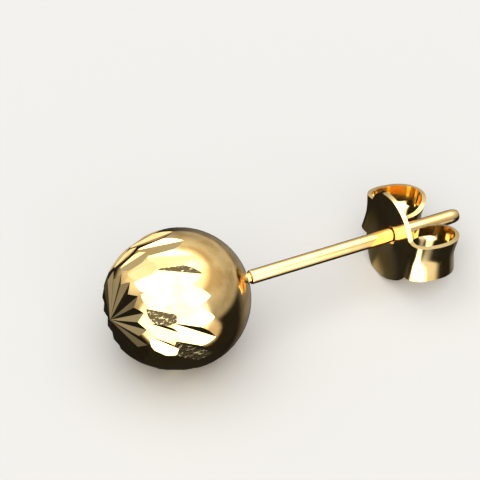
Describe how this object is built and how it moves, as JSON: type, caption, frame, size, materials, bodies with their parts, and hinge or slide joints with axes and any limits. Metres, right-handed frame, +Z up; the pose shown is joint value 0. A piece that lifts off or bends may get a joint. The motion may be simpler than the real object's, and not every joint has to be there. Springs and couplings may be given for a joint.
{
  "type": "ball stud earring with butterfly clutch",
  "caption": "Gold ball stud earring with a faceted, diamond-cut front and a straight post, held behind the ear by a sliding butterfly clutch. Shown lying down.",
  "frame": {"origin": "on the surface it lies on, below the middle of the whole earring", "axes": "+Z up, the cut front of the ball looks to -Y, the post runs to +Y and slopes down to the clutch"},
  "size_m": [0.007, 0.0196, 0.0068],
  "materials": {
    "cut_gold": "polished yellow gold, diamond-cut front",
    "sheet_gold": "polished yellow gold sheet"
  },
  "bodies": {
    "stud": {"ball_stud": "cut_gold"},
    "butterfly_clutch": {"clutch": "sheet_gold"}
  },
  "joints": [
    {"name": "clutch_slide", "type": "slide", "parent": "stud", "child": "butterfly_clutch", "axis": [0, 0.9946, -0.1037], "range_m": [-0.0078, 0.003]}
  ]
}
